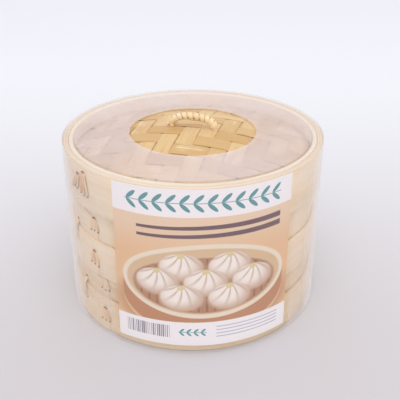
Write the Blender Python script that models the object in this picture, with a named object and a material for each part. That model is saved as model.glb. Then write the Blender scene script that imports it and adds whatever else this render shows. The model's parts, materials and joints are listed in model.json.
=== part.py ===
"""A two-tier bamboo steamer, 20 cm across, with its woven lid, paper label and clear wrap.

Metres, +Z up. The origin is the centre of the base, and the label faces -Y.
Each basket is a wall hoop, a skirt hoop that nests over the basket below, and a rack of slats
on two battens, held down by an inner hoop. The lid is a domed double weave clamped between hoops.
"""

import math

import bmesh
import bpy
from mathutils import Vector

# Driving dimensions.
LID_RADIUS = 0.1000
LID_HEIGHT = 0.0350
LID_RIM_THICKNESS = 0.0074
BASKET_HEIGHT = 0.0575
STACK_PITCH = 0.0475
SKIRT_HEIGHT = 0.0295
SKIRT_RADIUS = 0.0982
WALL_RADIUS = 0.0958
WALL_THICKNESS = 0.0032
LID_OVERLAP = 0.0036
GAP = 0.0003
ROUND_SEGMENTS = 60

# The rack in each basket.
SLATS = 11
SLAT_PITCH = 0.0163
SLAT_WIDTH = 0.0125
SLAT_THICKNESS = 0.0025
BATTEN_OFFSET = 0.045
BATTEN_WIDTH = 0.008
BATTEN_THICKNESS = 0.005
BATTEN_FLOOR = 0.0130
BATTEN_END_INSET = 0.0007
INNER_HOOP_HEIGHT = 0.0100
INNER_HOOP_THICKNESS = 0.0030
ARC_STEPS = 4

# The woven dome of the lid.
WEAVE_RECESS = 0.0115
DOME_RISE = 0.0155
WEAVE_THICKNESS = 0.0018
LINING_THICKNESS = 0.0012
DOME_STEPS = 5
DOME_CLAMP = 0.0028

# The handle: a bent core whose feet pass through the weave, wound with a strip.
HANDLE_SPAN = 0.034
HANDLE_TOP = 0.0084
HANDLE_FLATNESS = 0.75
HANDLE_TURN = math.radians(-15.6)
HANDLE_CORE_RADIUS = 0.0017
HANDLE_WRAP_INNER = 0.0021
HANDLE_WRAP_OUTER = 0.0029
HANDLE_HOLE_RADIUS = 0.0023
HANDLE_HOOK = 0.007
HANDLE_WRAP_REACH = math.radians(66)
WRAP_STEPS = 20
WRAP_SIDES = 10

# Lacings: a strip that fans out from one slit to several.
LACING_STRAND = 0.0019
LACING_THICKNESS = 0.0006
LACING_GAP = 0.0002
LACING_END = 0.0010
LACING_STRANDS = 3

# The wrap: a printed paper label under a shrunk clear sleeve with a hole over the weave.
LABEL_FROM = math.radians(-33.4)
LABEL_TO = math.radians(43.6)
LABEL_BOTTOM = 0.0065
LABEL_TOP = 0.1352
LABEL_THICKNESS = 0.0003
LABEL_STEPS = 18
FILM_CLEARANCE = 0.0012
FILM_THICKNESS = 0.0003
FILM_HOLE_RADIUS = 0.0495

# Worked out from the above.
SKIRT_INNER_RADIUS = WALL_RADIUS + GAP
WALL_INNER_RADIUS = WALL_RADIUS - WALL_THICKNESS
WALL_BOTTOM = BASKET_HEIGHT - STACK_PITCH + GAP
LID_BOTTOM = STACK_PITCH + BASKET_HEIGHT - LID_OVERLAP
LID_TOP = LID_BOTTOM + LID_HEIGHT
LID_OUTER_HOOP_INNER = WALL_RADIUS + 2 * GAP
LID_HOOP_INNER = LID_RADIUS - LID_RIM_THICKNESS
LID_HOOP_OUTER = LID_OUTER_HOOP_INNER - GAP
DOME_RADIUS = LID_HOOP_INNER
WEAVE_EDGE = LID_TOP - WEAVE_RECESS
SLAT_FLOOR = BATTEN_FLOOR + BATTEN_THICKNESS + GAP
INNER_HOOP_FLOOR = SLAT_FLOOR + SLAT_THICKNESS + GAP
FILM_INNER_RADIUS = LID_RADIUS + FILM_CLEARANCE

# name: base colour, roughness
FINISHES = {
    "bamboo_hoop": ((0.72, 0.58, 0.42), 0.55),
    "bamboo_slat": ((0.70, 0.52, 0.30), 0.60),
    "bamboo_weave": ((0.66, 0.43, 0.19), 0.55),
    "bamboo_strip": ((0.60, 0.36, 0.15), 0.60),
    "label_paper": ((0.85, 0.80, 0.74), 0.45),
    "clear_film": ((0.90, 0.89, 0.90), 0.15),
}


def clear_scene():
    for old in list(bpy.data.objects):
        bpy.data.objects.remove(old)


def finish_named(name):
    found = bpy.data.materials.get(name)
    if found:
        return found
    colour, roughness = FINISHES[name]
    made = bpy.data.materials.new(name)
    made.use_nodes = True
    shader = made.node_tree.nodes["Principled BSDF"]
    shader.inputs["Base Color"].default_value = (*colour, 1.0)
    shader.inputs["Roughness"].default_value = roughness
    shader.inputs["Metallic"].default_value = 0.0
    return made


def add_solid(name, bm, finish):
    """Makes an object of the bmesh, with its faces pointing out and its round sides smooth."""
    bmesh.ops.recalc_face_normals(bm, faces=bm.faces)
    mesh = bpy.data.meshes.new(name)
    bm.to_mesh(mesh)
    bm.free()
    mesh.shade_smooth()
    mesh.set_sharp_from_angle(angle=math.radians(35))
    mesh.materials.append(finish_named(finish))
    solid = bpy.data.objects.new(name, mesh)
    bpy.context.scene.collection.objects.link(solid)
    return solid


def on_cylinder(radius, along, z):
    """A point on a cylinder: along is the angle from -Y towards +X."""
    return Vector((radius * math.sin(along), -radius * math.cos(along), z))


def turned(name, profile, finish):
    """A closed ring: the (radius, height) profile spun once round Z."""
    bm = bmesh.new()
    points = [bm.verts.new((radius, 0.0, z)) for radius, z in profile]
    edges = [bm.edges.new((points[i - 1], points[i])) for i in range(len(points))]
    bmesh.ops.spin(
        bm,
        geom=points + edges,
        axis=(0, 0, 1),
        cent=(0, 0, 0),
        angle=2 * math.pi,
        steps=ROUND_SEGMENTS,
        use_merge=True,
    )
    return add_solid(name, bm, finish)


def hoop(name, inner, outer, bottom, top, finish="bamboo_hoop"):
    return turned(name, [(inner, bottom), (outer, bottom), (outer, top), (inner, top)], finish)


def cut(solid, cutter):
    """Takes the cutter, a hidden helper, out of the solid."""
    cutter.hide_render = True
    cutter.display_type = "WIRE"
    boolean = solid.modifiers.new("cut_" + cutter.name, "BOOLEAN")
    boolean.operation = "DIFFERENCE"
    boolean.object = cutter


def slit_cutter(name, slits):
    """Boxes through a hoop, one for each (angle, height, width, tall, inner, outer)."""
    bm = bmesh.new()
    for along, z, width, tall, inner, outer in slits:
        corners = []
        for radius in (inner, outer):
            half = width / 2 / radius
            for side, up in ((-1, -1), (1, -1), (1, 1), (-1, 1)):
                corners.append(bm.verts.new(on_cylinder(radius, along + side * half, z + up * tall / 2)))
        back, front = corners[:4], corners[4:]
        bm.faces.new(back[::-1])
        bm.faces.new(front)
        for i in range(4):
            bm.faces.new((back[i - 1], back[i], front[i], front[i - 1]))
    return add_solid(name, bm, "bamboo_strip")


class Lacing:
    """A strip of bamboo peel that leaves a hoop at one slit and goes back in at several below it."""

    def __init__(self, along, top, bottom, spread, radius_at, depth_top, depth_bottom, levels=()):
        self.along = along
        self.top = top
        self.bottom = bottom
        self.spread = spread
        self.radius_at = radius_at
        self.depth_top = depth_top
        self.depth_bottom = depth_bottom
        self.levels = levels

    def strand_centre(self, strand, z):
        share = (self.top - z) / (self.top - self.bottom)
        return share * self.spread * (strand / (LACING_STRANDS - 1) - 0.5)

    def rows(self):
        """Heights of the rows of corners, the row where the strands part, and the rows below it."""
        per_strand = self.spread / (LACING_STRANDS - 1)
        parting = self.top - (self.top - self.bottom) * LACING_STRAND / per_strand
        above = [z for z in self.levels if z > parting + LACING_END / 2]
        below = [z for z in self.levels if z < parting - LACING_END / 2]
        joined = [self.top, self.top - LACING_END, *above, parting]
        parted = [parting, *below, self.bottom + LACING_END, self.bottom]
        return joined, parted

    def quads(self):
        """(corners, leg depth or None) of each quad of the fan, each corner as (offset, height)."""
        joined, parted = self.rows()
        found = []
        half = LACING_STRAND / 2

        def joined_row(z):
            left = self.strand_centre(0, z) - half
            right = self.strand_centre(LACING_STRANDS - 1, z) + half
            return [left + (right - left) * i / LACING_STRANDS for i in range(LACING_STRANDS + 1)]

        for number, (high, low) in enumerate(zip(joined, joined[1:])):
            upper, lower = joined_row(high), joined_row(low)
            for i in range(LACING_STRANDS):
                quad = [(upper[i], high), (upper[i + 1], high), (lower[i + 1], low), (lower[i], low)]
                found.append((quad, self.depth_top if number == 0 else None))
        for strand in range(LACING_STRANDS):
            for high, low in zip(parted, parted[1:]):
                a, b = self.strand_centre(strand, high), self.strand_centre(strand, low)
                quad = [(a - half, high), (a + half, high), (b + half, low), (b - half, low)]
                found.append((quad, self.depth_bottom if low == self.bottom else None))
        return found

    def solid(self, name):
        bm = bmesh.new()
        corners = {}

        def corner(offset, z, layer):
            """The corner on the inner (0) or outer (1) face, or at a leg's end, layer being its radius."""
            key = (round(offset, 6), round(z, 6), layer)
            if key not in corners:
                face = self.radius_at(z) + LACING_GAP
                radius = face + LACING_THICKNESS * layer if layer in (0, 1) else layer
                corners[key] = bm.verts.new(on_cylinder(radius, self.along + offset / face, z))
            return corners[key]

        sides = {}
        for quad, depth in self.quads():
            outer = [corner(*point, 1) for point in quad]
            inner = [corner(*point, 0) for point in quad]
            bm.faces.new(outer)
            if depth is None:
                bm.faces.new(inner[::-1])
            for i in range(4):
                sides.setdefault(frozenset((outer[i - 1], outer[i])), []).append(
                    (outer[i - 1], outer[i], inner[i], inner[i - 1])
                )
        for walls in sides.values():
            if len(walls) == 1:
                bm.faces.new(walls[0])
        self.add_legs(bm, corner)
        return add_solid(name, bm, "bamboo_strip")

    def add_legs(self, bm, corner):
        walls = {}
        for quad, depth in self.quads():
            if depth is None:
                continue
            near = [corner(*point, 0) for point in quad]
            far = [corner(*point, depth) for point in quad]
            bm.faces.new(far[::-1])
            for i in range(4):
                walls.setdefault(frozenset((near[i - 1], near[i])), []).append(
                    (near[i - 1], near[i], far[i], far[i - 1])
                )
        for shared in walls.values():
            if len(shared) == 1:
                bm.faces.new(shared[0])

    def slits(self, inner, outer, at_top=True, at_bottom=True):
        """The slits that the legs need in a hoop between these two radii."""
        width, tall = LACING_STRAND + 2 * GAP, LACING_END + 2 * GAP
        found = []
        if at_top:
            z = self.top - LACING_END / 2
            widening = self.spread * LACING_END / (self.top - self.bottom)
            found.append((self.along, z, width + widening, tall))
        if at_bottom:
            z = self.bottom + LACING_END / 2
            for strand in range(LACING_STRANDS):
                along = self.along + self.strand_centre(strand, z) / (self.radius_at(z) + LACING_GAP)
                found.append((along, z, width, tall))
        past = 10 * GAP
        return [(*slit, inner - past, outer + past) for slit in found]


def lath(name, offset, width, radius, bottom, top, along_x, finish):
    """A flat bar across a circle, its ends cut to the circle. It runs along Y, or along X."""
    edges = [offset - width / 2 + width * i / ARC_STEPS for i in range(ARC_STEPS + 1)]
    reach = [math.sqrt(radius**2 - edge**2) for edge in edges]
    outline = list(zip(edges, reach)) + [(e, -r) for e, r in reversed(list(zip(edges, reach)))]
    bm = bmesh.new()
    corners = [bm.verts.new((y, x, bottom) if along_x else (x, y, bottom)) for x, y in outline]
    base = bm.faces.new(corners)
    raised = bmesh.ops.extrude_face_region(bm, geom=[base], use_keep_orig=True)["geom"]
    lifted = [v for v in raised if isinstance(v, bmesh.types.BMVert)]
    bmesh.ops.translate(bm, verts=lifted, vec=(0, 0, top - bottom))
    return add_solid(name, bm, finish)


def add_rack(tier, floor):
    """Slats on two battens, pressed down by the inner hoop."""
    batten_radius = WALL_RADIUS - BATTEN_END_INSET
    for side, offset in (("front", -BATTEN_OFFSET), ("back", BATTEN_OFFSET)):
        bottom = floor + BATTEN_FLOOR
        lath(
            f"{tier}_batten_{side}",
            offset,
            BATTEN_WIDTH,
            batten_radius,
            bottom,
            bottom + BATTEN_THICKNESS,
            True,
            "bamboo_slat",
        )
    bottom = floor + SLAT_FLOOR
    for number in range(SLATS):
        offset = (number - (SLATS - 1) / 2) * SLAT_PITCH
        lath(
            f"{tier}_slat_{number + 1:02d}",
            offset,
            SLAT_WIDTH,
            WALL_INNER_RADIUS - GAP,
            bottom,
            bottom + SLAT_THICKNESS,
            False,
            "bamboo_slat",
        )
    outer = WALL_INNER_RADIUS - GAP
    bottom = floor + INNER_HOOP_FLOOR
    hoop(f"{tier}_inner_hoop", outer - INNER_HOOP_THICKNESS, outer, bottom, bottom + INNER_HOOP_HEIGHT)


def mortise_slits(floor):
    """Where the ends of the battens pass into the wall."""
    found = []
    z = floor + BATTEN_FLOOR + BATTEN_THICKNESS / 2
    inner, outer = WALL_INNER_RADIUS - 20 * GAP, WALL_RADIUS + 20 * GAP
    angle = math.acos(BATTEN_OFFSET / WALL_RADIUS)
    slope = math.sin(angle)
    for along in (angle, -angle, math.pi - angle, angle - math.pi):
        width = (BATTEN_WIDTH + 2 * GAP) / slope + WALL_THICKNESS
        found.append((along, z, width, BATTEN_THICKNESS + 2 * GAP, inner, outer))
    return found


def add_basket(tier, floor, lacing_angle):
    """One basket standing at this height, its hoops laced at this angle from the front."""
    skirt_top = floor + SKIRT_HEIGHT
    skirt = hoop(f"{tier}_skirt_hoop", SKIRT_INNER_RADIUS, SKIRT_RADIUS, floor, skirt_top)
    wall = hoop(
        f"{tier}_wall_hoop", WALL_INNER_RADIUS, WALL_RADIUS, floor + WALL_BOTTOM, floor + BASKET_HEIGHT
    )
    add_rack(tier, floor)

    through_wall = WALL_INNER_RADIUS + GAP
    through_skirt = SKIRT_INNER_RADIUS + GAP
    wall_lacing = Lacing(
        along=lacing_angle,
        top=floor + 0.0468,
        bottom=floor + 0.0360,
        spread=0.0090,
        radius_at=lambda z: WALL_RADIUS,
        depth_top=through_wall,
        depth_bottom=through_wall,
    )
    skirt_lacing = Lacing(
        along=lacing_angle + math.radians(0.6),
        top=floor + 0.0205,
        bottom=floor + 0.0090,
        spread=0.0096,
        radius_at=lambda z: SKIRT_RADIUS,
        depth_top=through_skirt,
        depth_bottom=through_skirt,
    )
    over_edge, past_edge = skirt_top + 2 * GAP, skirt_top + 8 * GAP

    def stepped(z):
        share = min(1.0, max(0.0, (z - over_edge) / (past_edge - over_edge)))
        return SKIRT_RADIUS + share * (WALL_RADIUS - SKIRT_RADIUS)

    tie_lacing = Lacing(
        along=lacing_angle - math.radians(17.0),
        top=floor + 0.0340,
        bottom=floor + 0.0170,
        spread=0.0080,
        radius_at=stepped,
        depth_top=through_wall,
        depth_bottom=through_skirt,
        levels=(past_edge, over_edge),
    )
    wall_lacing.solid(f"{tier}_wall_lacing")
    skirt_lacing.solid(f"{tier}_skirt_lacing")
    tie_lacing.solid(f"{tier}_tie_lacing")

    in_wall = wall_lacing.slits(WALL_INNER_RADIUS, WALL_RADIUS)
    in_wall += tie_lacing.slits(WALL_INNER_RADIUS, WALL_RADIUS, at_bottom=False)
    in_skirt = skirt_lacing.slits(SKIRT_INNER_RADIUS, SKIRT_RADIUS)
    in_skirt += tie_lacing.slits(SKIRT_INNER_RADIUS, SKIRT_RADIUS, at_top=False)
    cut(wall, slit_cutter(f"{tier}_wall_slits", in_wall + mortise_slits(floor)))
    cut(skirt, slit_cutter(f"{tier}_skirt_slits", in_skirt))


def dome_height(radius):
    """Height of the weave's top face at this distance from the axis."""
    return WEAVE_EDGE + DOME_RISE * max(0.0, 1 - (radius / DOME_RADIUS) ** 2)


def woven_shell(name, below, thickness):
    """A domed shell whose top face lies this far below the top of the weave."""
    rim = DOME_RADIUS + DOME_CLAMP
    radii = [DOME_RADIUS * i / DOME_STEPS for i in range(DOME_STEPS + 1)] + [rim]
    bm = bmesh.new()
    faces = []
    for drop in (below, below + thickness):
        rings = []
        for radius in radii:
            z = dome_height(radius) - drop
            count = ROUND_SEGMENTS if radius else 1
            turn = 2 * math.pi / ROUND_SEGMENTS
            rings.append([bm.verts.new(on_cylinder(radius, turn * i, z)) for i in range(count)])
        for near, far in zip(rings, rings[1:]):
            for i in range(ROUND_SEGMENTS):
                start = [near[0]] if len(near) == 1 else [near[i], near[i - 1]]
                bm.faces.new([far[i - 1], far[i], *start])
        faces.append(rings[-1])
    for i in range(ROUND_SEGMENTS):
        bm.faces.new((faces[0][i - 1], faces[0][i], faces[1][i], faces[1][i - 1]))
    return add_solid(name, bm, "bamboo_weave")


def turned_with_handle(across, z):
    """A point in the handle's own plane: across is the distance from the axis along the handle."""
    return Vector((across * math.cos(HANDLE_TURN), across * math.sin(HANDLE_TURN), z))


def arch_point(angle):
    """A point of the handle's centreline: 0 is the top, and +-90 degrees are where the feet stand."""
    foot = dome_height(0)
    return HANDLE_SPAN / 2 * math.sin(angle), foot + HANDLE_TOP * math.cos(angle) ** HANDLE_FLATNESS


def add_handle_core():
    """The bent core: an arch whose feet go down through both layers and hook outwards under them."""
    foot = HANDLE_SPAN / 2
    layers = WEAVE_THICKNESS + LINING_THICKNESS + GAP
    under = dome_height(foot + HANDLE_HOOK) - layers - HANDLE_CORE_RADIUS - 3 * GAP
    half = [arch_point(math.radians(angle)) for angle in (0, 30, 60, 82)]
    half.append((foot, under + 3 * HANDLE_CORE_RADIUS))
    half.append((foot + HANDLE_CORE_RADIUS, under + HANDLE_CORE_RADIUS / 2))
    half.append((foot + HANDLE_HOOK, under))
    route = [(-across, z) for across, z in reversed(half[1:])] + half
    curve = bpy.data.curves.new("lid_handle_core", "CURVE")
    curve.dimensions = "3D"
    curve.resolution_u = 4
    curve.bevel_depth = HANDLE_CORE_RADIUS
    curve.bevel_resolution = 2
    curve.use_fill_caps = True
    spline = curve.splines.new("BEZIER")
    spline.bezier_points.add(len(route) - 1)
    for point, (across, z) in zip(spline.bezier_points, route):
        point.co = turned_with_handle(across, z)
        point.handle_left_type = point.handle_right_type = "AUTO"
    curve.materials.append(finish_named("bamboo_strip"))
    core = bpy.data.objects.new("lid_handle_core", curve)
    bpy.context.scene.collection.objects.link(core)
    return core


def add_handle_wrap():
    """The strip wound round the arch, as one open-ended sleeve."""
    bm = bmesh.new()
    side = Vector((-math.sin(HANDLE_TURN), math.cos(HANDLE_TURN), 0.0))
    rings = []
    for step in range(WRAP_STEPS + 1):
        angle = HANDLE_WRAP_REACH * (2 * step / WRAP_STEPS - 1)
        centre = turned_with_handle(*arch_point(angle))
        ahead = turned_with_handle(*arch_point(angle + 0.01)) - turned_with_handle(*arch_point(angle - 0.01))
        up = side.cross(ahead.normalized())
        pair = []
        for radius in (HANDLE_WRAP_INNER, HANDLE_WRAP_OUTER):
            turn = 2 * math.pi / WRAP_SIDES
            ring = []
            for i in range(WRAP_SIDES):
                ring.append(bm.verts.new(centre + radius * (math.cos(turn * i) * up + math.sin(turn * i) * side)))
            pair.append(ring)
        rings.append(pair)
    for before, after in zip(rings, rings[1:]):
        for layer in (0, 1):
            for i in range(WRAP_SIDES):
                a, b = before[layer], after[layer]
                bm.faces.new((a[i - 1], a[i], b[i], b[i - 1]))
    for inner, outer in (rings[0], rings[-1]):
        for i in range(WRAP_SIDES):
            bm.faces.new((inner[i - 1], inner[i], outer[i], outer[i - 1]))
    return add_solid("lid_handle_wrap", bm, "bamboo_strip")


def foot_cutter():
    """Two upright pegs where the handle's feet pass through the weave."""
    bm = bmesh.new()
    for across in (-HANDLE_SPAN / 2, HANDLE_SPAN / 2):
        made = bmesh.ops.create_cone(
            bm,
            cap_ends=True,
            segments=12,
            radius1=HANDLE_HOLE_RADIUS,
            radius2=HANDLE_HOLE_RADIUS,
            depth=DOME_RISE,
        )
        place = turned_with_handle(across, dome_height(across))
        bmesh.ops.translate(bm, verts=made["verts"], vec=place)
    return add_solid("handle_foot_holes", bm, "bamboo_strip")


def add_lid():
    outer_hoop = hoop("lid_outer_hoop", LID_OUTER_HOOP_INNER, LID_RADIUS, LID_BOTTOM, LID_TOP)
    hoop("lid_upper_inner_hoop", LID_HOOP_INNER, LID_HOOP_OUTER, WEAVE_EDGE + GAP, LID_TOP)
    layers = WEAVE_THICKNESS + LINING_THICKNESS + GAP
    wall_top = STACK_PITCH + BASKET_HEIGHT
    hoop(
        "lid_lower_inner_hoop",
        LID_HOOP_INNER,
        LID_HOOP_OUTER,
        wall_top + GAP,
        WEAVE_EDGE - layers - GAP,
    )
    holes = foot_cutter()
    cut(woven_shell("lid_woven_top", 0.0, WEAVE_THICKNESS), holes)
    cut(woven_shell("lid_woven_lining", WEAVE_THICKNESS + GAP, LINING_THICKNESS), holes)
    add_handle_core()
    add_handle_wrap()

    slits = []
    through = LID_OUTER_HOOP_INNER + GAP
    for side, angle, top, bottom in (("left", -58.5, 0.1275, 0.1150), ("right", -50.5, 0.1310, 0.1135)):
        lacing = Lacing(
            along=math.radians(angle),
            top=top,
            bottom=bottom,
            spread=0.0075,
            radius_at=lambda z: LID_RADIUS,
            depth_top=through,
            depth_bottom=through,
        )
        lacing.solid(f"lid_hoop_lacing_{side}")
        slits += lacing.slits(LID_OUTER_HOOP_INNER, LID_RADIUS)
    cut(outer_hoop, slit_cutter("lid_hoop_slits", slits))


def add_label():
    """The printed sheet, curved round the front."""
    bm = bmesh.new()
    inner = LID_RADIUS + GAP
    loops = []
    for step in range(LABEL_STEPS + 1):
        along = LABEL_FROM + (LABEL_TO - LABEL_FROM) * step / LABEL_STEPS
        corners = (
            (inner, LABEL_BOTTOM),
            (inner + LABEL_THICKNESS, LABEL_BOTTOM),
            (inner + LABEL_THICKNESS, LABEL_TOP),
            (inner, LABEL_TOP),
        )
        loops.append([bm.verts.new(on_cylinder(radius, along, z)) for radius, z in corners])
    for a, b in zip(loops, loops[1:]):
        for i in range(4):
            bm.faces.new((a[i - 1], a[i], b[i], b[i - 1]))
    bm.faces.new(loops[0])
    bm.faces.new(loops[-1][::-1])
    return add_solid("wrap_label", bm, "label_paper")


def add_wrap():
    add_label()
    inner, outer = FILM_INNER_RADIUS, FILM_INNER_RADIUS + FILM_THICKNESS
    top = LID_TOP + GAP
    hoop("wrap_film_wall", inner, outer, GAP, top, "clear_film")
    hoop("wrap_film_top", FILM_HOLE_RADIUS, outer, top + GAP, top + GAP + FILM_THICKNESS, "clear_film")


def main():
    clear_scene()
    add_basket("lower", 0.0, math.radians(-43.5))
    add_basket("upper", STACK_PITCH, math.radians(-48.5))
    add_lid()
    add_wrap()


main()
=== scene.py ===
"""The looks of a two-tier bamboo steamer with a woven lid, in its paper label and clear wrap.

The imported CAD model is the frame. Its slats and battens are copied with rounded edges. Its hoops, woven
shells, lacings, handle strip, label and film are replaced by detailed pieces.
"""

import json
import math
import random

import bmesh
import bpy
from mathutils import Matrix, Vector


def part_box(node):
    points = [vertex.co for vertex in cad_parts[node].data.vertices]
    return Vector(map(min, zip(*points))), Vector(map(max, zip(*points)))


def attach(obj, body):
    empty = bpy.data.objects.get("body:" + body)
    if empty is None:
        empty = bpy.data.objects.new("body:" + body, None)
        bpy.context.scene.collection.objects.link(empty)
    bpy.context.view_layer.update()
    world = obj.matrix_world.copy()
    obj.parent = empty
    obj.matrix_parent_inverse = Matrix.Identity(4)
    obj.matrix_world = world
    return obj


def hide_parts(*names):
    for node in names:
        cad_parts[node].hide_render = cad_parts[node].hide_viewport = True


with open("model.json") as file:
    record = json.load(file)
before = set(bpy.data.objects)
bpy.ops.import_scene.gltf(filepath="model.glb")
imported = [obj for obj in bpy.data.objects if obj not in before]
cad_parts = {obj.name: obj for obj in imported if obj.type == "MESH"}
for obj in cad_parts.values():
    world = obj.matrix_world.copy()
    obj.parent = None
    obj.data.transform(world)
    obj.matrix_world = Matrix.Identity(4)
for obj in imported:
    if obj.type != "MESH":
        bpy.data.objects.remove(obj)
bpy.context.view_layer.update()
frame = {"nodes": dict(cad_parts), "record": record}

MM = 0.001

# The camera, found from the ellipses of the rim, the seams and the base.
CAMERA_PLACE = (2.6 * MM, -506.7 * MM, 337.6 * MM)
CAMERA_PITCH = 0.477
CAMERA_YAW = -0.0057
CAMERA_LENS = 62.45

# The weave of the lid, in a grid turned with the handle.
WEAVE_TURN = math.radians(-14.5)
ALONG_PITCH = 15.0 * MM
ACROSS_PITCH = 13.5 * MM
ALONG_START = -0.6 * MM
ACROSS_START = 7.1 * MM
STRIP_THICKNESS = 0.62 * MM
STRIP_LIFT = 0.40 * MM
STRIP_STEP = 1.7 * MM

HOOP_END_DROP = 6.0 * MM

HANDLE_TURN = math.radians(-15.6)
HANDLE_SPAN = 34 * MM
HANDLE_WINDINGS = 10
HANDLE_FLATNESS = 0.75

# How far the label's paper waves in where it hangs free.
LABEL_WOBBLE = 0.12 * MM

# The middle of the label's picture, in millimetres along the curve and up.
PICTURE_MIDDLE = (9, 62)


# ---------------------------------------------------------------- geometry of the frame


def reach(node):
    """(least, greatest) distance of a node's points from the stack's axis."""
    distances = [math.hypot(v.co.x, v.co.y) for v in frame["nodes"][node].data.vertices]
    return min(distances), max(distances)


RIM_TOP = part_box("lid_outer_hoop")[1][2]
WEAVE_RADIUS, WEAVE_CLAMP_RADIUS = reach("lid_upper_inner_hoop")
WEAVE_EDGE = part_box("lid_upper_inner_hoop")[0][2] - 0.3 * MM
WEAVE_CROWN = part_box("lid_woven_top")[1][2]
FILM_RADIUS = reach("wrap_film_wall")[1]
FILM_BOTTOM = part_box("wrap_film_wall")[0][2]
FILM_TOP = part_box("wrap_film_top")[1][2]
FILM_HOLE = reach("wrap_film_top")[0]


def on_cylinder(radius, along, z):
    """A point on a cylinder: along is the angle from the front, -Y, towards +X."""
    return Vector((radius * math.sin(along), -radius * math.cos(along), z))


def angle_of(point):
    return math.atan2(point[0], -point[1])


def dome_height(radius):
    """Height of the woven dome's top face at this distance from the axis."""
    return WEAVE_EDGE + (WEAVE_CROWN - WEAVE_EDGE) * max(0.0, 1 - (radius / WEAVE_RADIUS) ** 2)


def smooth(x):
    x = min(1.0, max(0.0, x))
    return x * x * (3 - 2 * x)


# ---------------------------------------------------------------- materials


def srgb(red, green, blue):
    """A colour given as it looks on screen, 0 to 255, as linear values."""
    linear = []
    for value in (red, green, blue):
        v = value / 255
        linear.append(v / 12.92 if v <= 0.04045 else ((v + 0.055) / 1.055) ** 2.4)
    return (*linear, 1.0)


class Graph:
    """A material's node tree, built with short calls."""

    def __init__(self, name):
        self.material = bpy.data.materials.new(name)
        self.material.use_nodes = True
        self.tree = self.material.node_tree
        self.shader = self.tree.nodes["Principled BSDF"]

    def node(self, kind, inputs=None, **settings):
        made = self.tree.nodes.new(kind)
        for key, value in settings.items():
            setattr(made, key, value)
        for key, value in (inputs or {}).items():
            self.feed(made.inputs[key], value)
        return made

    def feed(self, socket, value):
        if isinstance(value, bpy.types.NodeSocket):
            self.tree.links.new(value, socket)
        else:
            socket.default_value = value

    def set(self, **values):
        for key, value in values.items():
            self.feed(self.shader.inputs[key.replace("_", " ")], value)

    def math(self, operation, a, b=0.0, c=0.0, clamp=False):
        made = self.node("ShaderNodeMath", {0: a, 1: b, 2: c}, operation=operation, use_clamp=clamp)
        return made.outputs[0]

    def ramp(self, value, low, high, to_low=0.0, to_high=1.0):
        """Maps low..high onto to_low..to_high with soft ends."""
        made = self.node(
            "ShaderNodeMapRange",
            {"Value": value, "From Min": low, "From Max": high, "To Min": to_low, "To Max": to_high},
            interpolation_type="SMOOTHSTEP",
        )
        return made.outputs[0]

    def mix(self, share, a, b, blend="MIX"):
        made = self.node("ShaderNodeMix", data_type="RGBA", blend_type=blend)
        self.feed(made.inputs[0], share)
        self.feed(made.inputs[6], a)
        self.feed(made.inputs[7], b)
        return made.outputs[2]

    def combine(self, x, y, z=0.0):
        return self.node("ShaderNodeCombineXYZ", {0: x, 1: y, 2: z}).outputs[0]

    def noise(self, vector, scale=1.0, detail=2.0, roughness=0.5):
        made = self.node(
            "ShaderNodeTexNoise",
            {"Vector": vector, "Scale": scale, "Detail": detail, "Roughness": roughness},
        )
        return made.outputs[0]

    def bump(self, height, distance, strength=1.0, normal=None):
        inputs = {"Height": height, "Distance": distance, "Strength": strength}
        if normal is not None:
            inputs["Normal"] = normal
        return self.node("ShaderNodeBump", inputs).outputs[0]

    def place(self):
        """x, y and z in metres, in the piece's own frame."""
        coordinates = self.node("ShaderNodeTexCoord").outputs["Object"]
        split = self.node("ShaderNodeSeparateXYZ", {0: coordinates})
        return split.outputs[0], split.outputs[1], split.outputs[2]

    def sheet_place(self):
        """Along and across a strip or sheet, in metres, from its UV map."""
        coordinates = self.node("ShaderNodeUVMap").outputs[0]
        split = self.node("ShaderNodeSeparateXYZ", {0: coordinates})
        return split.outputs[0], split.outputs[1]


def bamboo(name, grain, pale, deep, fleck, flecks=0.5, roughness=0.5, bump=0.12):
    """Planed bamboo. grain gives the vector whose first two values run slowly and whose third runs
    fast, so that the fibres lie along the slow ones."""
    g = Graph(name)
    slow, slow_too, fast = grain(g)

    def fibres(along, across, detail=3.0):
        vector = g.combine(
            g.math("MULTIPLY", slow, along),
            g.math("MULTIPLY", slow_too, along),
            g.math("MULTIPLY", fast, across),
        )
        return g.noise(vector, 1.0, detail, 0.6)

    broad = fibres(9, 120)
    fine = fibres(22, 1400)
    finest = fibres(60, 4200)
    patches = fibres(16, 26, 2.0)
    colour = g.mix(g.ramp(broad, 0.3, 0.7), pale, deep)
    colour = g.mix(g.ramp(fine, 0.5, 0.78, 0.0, 0.45), colour, fleck)
    colour = g.mix(g.ramp(patches, 0.5, 0.8, 0.0, 0.35), colour, deep)
    dashes = g.math("MULTIPLY", g.ramp(fibres(70, 1500, 1.0), 0.66, 0.74), flecks)
    colour = g.mix(dashes, colour, fleck)
    g.set(Base_Color=colour, Roughness=g.ramp(fine, 0.2, 0.8, roughness - 0.08, roughness + 0.12))
    height = g.math("ADD", g.math("MULTIPLY", fine, 0.6), g.math("MULTIPLY", finest, 0.4))
    g.set(Normal=g.bump(height, bump * MM))
    return g.material


def around(g):
    """Fibres that run round the stack's axis, on walls and on flat rims alike."""
    x, y, z = g.place()
    distance = g.math("SQRT", g.math("ADD", g.math("MULTIPLY", x, x), g.math("MULTIPLY", y, y)))
    return x, y, g.math("ADD", z, distance)


def along_y(g):
    x, y, z = g.place()
    return y, z, x


def along_x(g):
    x, y, z = g.place()
    return x, z, y


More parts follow.
